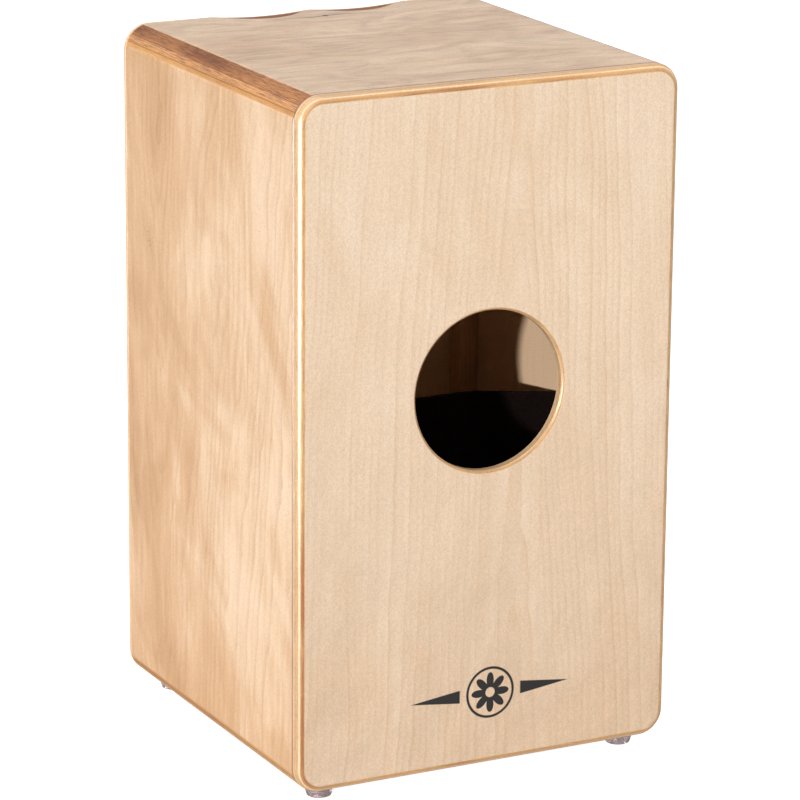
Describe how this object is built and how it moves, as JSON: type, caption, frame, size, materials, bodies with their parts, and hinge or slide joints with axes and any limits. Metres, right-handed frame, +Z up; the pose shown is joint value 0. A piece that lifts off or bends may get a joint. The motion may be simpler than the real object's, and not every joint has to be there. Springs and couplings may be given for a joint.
{
  "type": "cajon",
  "caption": "Box drum that the player sits on: plywood body with rounded edges, thin playing face with wire strings behind it, round sound hole at the rear, clear rubber feet.",
  "frame": {"origin": "on the floor, under the middle of the box", "axes": "+Z up through the seat, -Y the way the playing face and the seated player face, +Y towards the rear panel with the sound hole, +X the player's left"},
  "size_m": [0.298, 0.292, 0.508],
  "materials": {
    "maple_veneer": "clear satin lacquer over pale maple veneer, grain upright",
    "tapa_veneer": "clear satin lacquer over thin plywood, grain upright",
    "curly_birch": "clear satin lacquer over figured birch veneer",
    "birch_veneer": "clear satin lacquer over cloudy birch veneer, grain upright",
    "base_veneer": "clear satin lacquer over birch plywood",
    "pine": "planed, bare",
    "black_felt": "black felt on a thin board, matt",
    "zinc_steel": "zinc plated",
    "clear_rubber": "clear, slightly smoky, glossy",
    "black_steel": "black oxide, oiled",
    "brass": "turned and milled, bare",
    "string_steel": "bright plain wire"
  },
  "bodies": {
    "box": {"base_panel": "base_veneer", "damper_cleat_left": "pine", "damper_cleat_right": "pine", "damper_panel": "black_felt", "foot_front_left": "clear_rubber", "foot_front_right": "clear_rubber", "foot_rear_left": "clear_rubber", "foot_rear_right": "clear_rubber", "foot_screw_front_left": "zinc_steel", "foot_screw_front_right": "zinc_steel", "foot_screw_rear_left": "zinc_steel", "foot_screw_rear_right": "zinc_steel", "foot_washer_front_left": "zinc_steel", "foot_washer_front_right": "zinc_steel", "foot_washer_rear_left": "zinc_steel", "foot_washer_rear_right": "zinc_steel", "front_batten_left": "pine", "front_batten_right": "pine", "front_batten_top": "pine", "hanger_screw_left": "zinc_steel", "hanger_screw_right": "zinc_steel", "rear_batten_bottom": "pine", "rear_batten_left": "pine", "rear_batten_right": "pine", "rear_batten_top": "pine", "rear_panel": "maple_veneer", "seat_panel": "curly_birch", "side_panel_left": "birch_veneer", "side_panel_right": "birch_veneer", "string_hanger_left": "zinc_steel", "string_hanger_right": "zinc_steel", "string_rail": "pine", "tapa": "tapa_veneer", "tapa_screw_left_1": "black_steel", "tapa_screw_left_2": "black_steel", "tapa_screw_left_3": "black_steel", "tapa_screw_left_4": "black_steel", "tapa_screw_left_5": "black_steel", "tapa_screw_left_low": "black_steel", "tapa_screw_right_1": "black_steel", "tapa_screw_right_2": "black_steel", "tapa_screw_right_3": "black_steel", "tapa_screw_right_4": "black_steel", "tapa_screw_right_5": "black_steel", "tapa_screw_right_low": "black_steel"},
    "bolt_1": {"tension_bolt_1": "black_steel"},
    "carriage_1": {"string_carriage_1": "brass", "string_1": "string_steel"},
    "bolt_2": {"tension_bolt_2": "black_steel"},
    "carriage_2": {"string_carriage_2": "brass", "string_2": "string_steel"},
    "bolt_3": {"tension_bolt_3": "black_steel"},
    "carriage_3": {"string_carriage_3": "brass", "string_3": "string_steel"},
    "bolt_4": {"tension_bolt_4": "black_steel"},
    "carriage_4": {"string_carriage_4": "brass", "string_4": "string_steel"}
  },
  "joints": [
    {"name": "bolt_1_turn", "type": "hinge", "parent": "box", "child": "bolt_1", "pos_m": [-0.044, -0.113, 0.04], "axis": [0, 0, -1], "range_deg": [0, 1080]},
    {"name": "string_1_slack", "type": "slide", "parent": "box", "child": "carriage_1", "axis": [0, 0, 1], "range_m": [0, 0.003]},
    {"name": "bolt_2_turn", "type": "hinge", "parent": "box", "child": "bolt_2", "pos_m": [-0.024, -0.113, 0.04], "axis": [0, 0, -1], "range_deg": [0, 1080]},
    {"name": "string_2_slack", "type": "slide", "parent": "box", "child": "carriage_2", "axis": [0, 0, 1], "range_m": [0, 0.003]},
    {"name": "bolt_3_turn", "type": "hinge", "parent": "box", "child": "bolt_3", "pos_m": [0.024, -0.113, 0.04], "axis": [0, 0, -1], "range_deg": [0, 1080]},
    {"name": "string_3_slack", "type": "slide", "parent": "box", "child": "carriage_3", "axis": [0, 0, 1], "range_m": [0, 0.003]},
    {"name": "bolt_4_turn", "type": "hinge", "parent": "box", "child": "bolt_4", "pos_m": [0.044, -0.113, 0.04], "axis": [0, 0, -1], "range_deg": [0, 1080]},
    {"name": "string_4_slack", "type": "slide", "parent": "box", "child": "carriage_4", "axis": [0, 0, 1], "range_m": [0, 0.003]}
  ],
  "couplings": [
    {"joint": "bolt_1_turn", "follows": "string_1_slack", "rad_per_m": 6283.2},
    {"joint": "bolt_2_turn", "follows": "string_2_slack", "rad_per_m": 6283.2},
    {"joint": "bolt_3_turn", "follows": "string_3_slack", "rad_per_m": 6283.2},
    {"joint": "bolt_4_turn", "follows": "string_4_slack", "rad_per_m": 6283.2}
  ]
}
